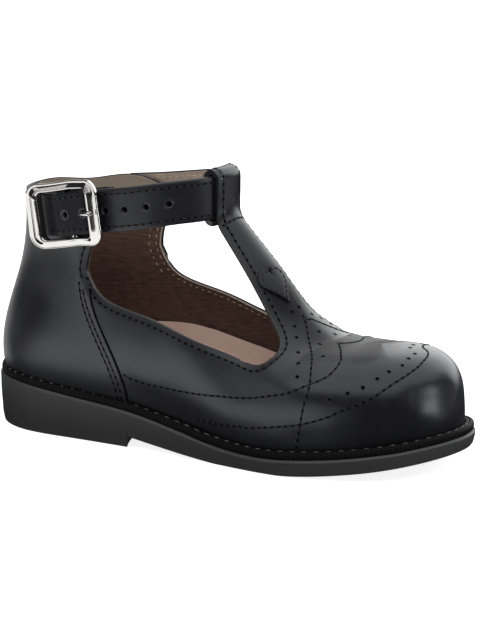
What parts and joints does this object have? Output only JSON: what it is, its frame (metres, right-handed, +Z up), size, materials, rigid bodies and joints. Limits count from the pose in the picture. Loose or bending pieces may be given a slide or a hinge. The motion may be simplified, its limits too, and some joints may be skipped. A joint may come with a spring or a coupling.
{
  "type": "child's t-bar school shoe",
  "caption": "Right shoe of a child's T-bar pair: hollow black leather upper with side cut-outs, ankle strap through the bar's loop to a metal buckle, stitched welt and low-heeled rubber sole.",
  "frame": {"origin": "middle of the shoe's outer box, on the floor under the sole", "axes": "+X towards the toe, +Y towards the inner side of the foot, +Z up from the tread"},
  "size_m": [0.1609, 0.0614, 0.086],
  "materials": {
    "upper_leather": "smooth, half gloss",
    "strap_leather": "smooth, half gloss",
    "patch_leather": "smooth, half gloss",
    "insole_leather": "unglazed, matt",
    "sole_rubber": "matt",
    "welt_rubber": "matt",
    "buckle_metal": "polished"
  },
  "bodies": {
    "root": {"outsole": "sole_rubber", "welt": "welt_rubber", "insole": "insole_leather", "upper": "upper_leather", "heart_patch": "patch_leather", "ankle_strap": "strap_leather", "buckle_frame": "buckle_metal", "buckle_prong": "buckle_metal"}
  },
  "joints": []
}
